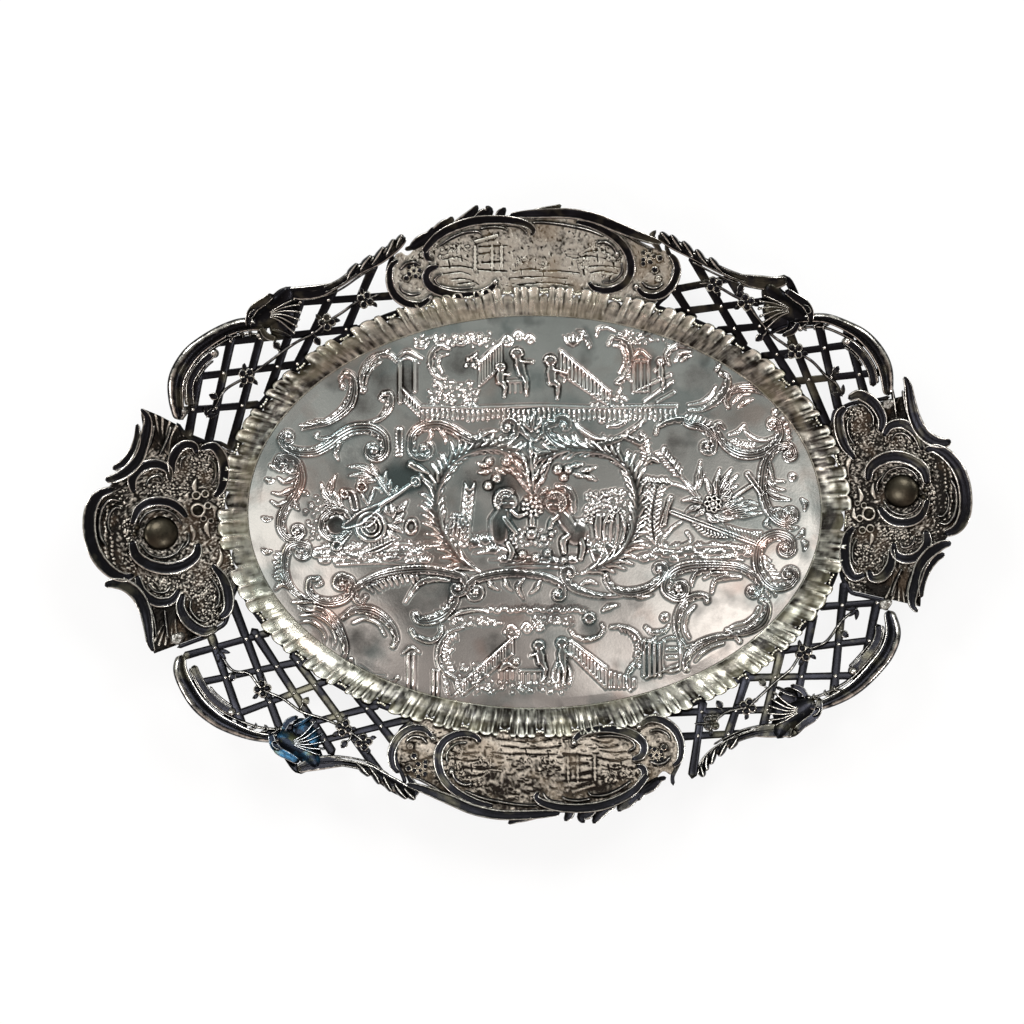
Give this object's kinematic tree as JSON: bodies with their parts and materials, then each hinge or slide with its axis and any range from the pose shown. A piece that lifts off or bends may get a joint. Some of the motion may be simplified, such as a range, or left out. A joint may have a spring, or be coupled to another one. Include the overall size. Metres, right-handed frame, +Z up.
{
  "type": "silver tray",
  "caption": "Oval silver tray with a flat chased well, a fluted scalloped wall and a raised pierced border of trellis, flower vines, scrolls and cartouches.",
  "frame": {"origin": "centre of the well's flat underside, on which the tray rests", "axes": "+X along the tray's length to the right end cartouche, +Y across it to the back cartouche, +Z up out of the well"},
  "size_m": [0.317, 0.223, 0.0364],
  "materials": {
    "polished_silver": "polished sterling silver, chased, with faint toning",
    "worn_silver": "fluted silver, lightly tarnished in the hollows",
    "matte_silver": "stippled and matted silver plate with brown tarnish",
    "tarnished_silver": "cast silver blackened by tarnish, bright on its rubbed edges",
    "burnished_silver": "burnished dome with brown toning"
  },
  "bodies": {
    "root": {"well_plate": "polished_silver", "fluted_wall": "worn_silver", "back_left_trellis": "tarnished_silver", "back_left_vine": "tarnished_silver", "back_left_arch": "tarnished_silver", "back_left_shell": "tarnished_silver", "back_left_sweep": "tarnished_silver", "back_right_trellis": "tarnished_silver", "back_right_vine": "tarnished_silver", "back_right_arch": "tarnished_silver", "back_right_shell": "tarnished_silver", "back_right_sweep": "tarnished_silver", "front_right_trellis": "tarnished_silver", "front_right_vine": "tarnished_silver", "front_right_arch": "tarnished_silver", "front_right_shell": "tarnished_silver", "front_right_sweep": "tarnished_silver", "front_left_trellis": "tarnished_silver", "front_left_vine": "tarnished_silver", "front_left_arch": "tarnished_silver", "front_left_shell": "tarnished_silver", "front_left_sweep": "tarnished_silver", "back_cartouche": "matte_silver", "back_crest": "tarnished_silver", "back_scroll_left": "tarnished_silver", "back_scroll_right": "tarnished_silver", "back_corner_left": "tarnished_silver", "back_corner_right": "tarnished_silver", "front_cartouche": "matte_silver", "front_crest": "tarnished_silver", "front_scroll_left": "tarnished_silver", "front_scroll_right": "tarnished_silver", "front_corner_left": "tarnished_silver", "front_corner_right": "tarnished_silver", "left_cartouche": "matte_silver", "left_crescent": "tarnished_silver", "left_wing_back": "tarnished_silver", "left_wing_front": "tarnished_silver", "left_collar_back": "tarnished_silver", "left_collar_front": "tarnished_silver", "left_boss": "burnished_silver", "right_cartouche": "matte_silver", "right_crescent": "tarnished_silver", "right_wing_back": "tarnished_silver", "right_wing_front": "tarnished_silver", "right_collar_back": "tarnished_silver", "right_collar_front": "tarnished_silver", "right_boss": "burnished_silver"}
  },
  "joints": []
}
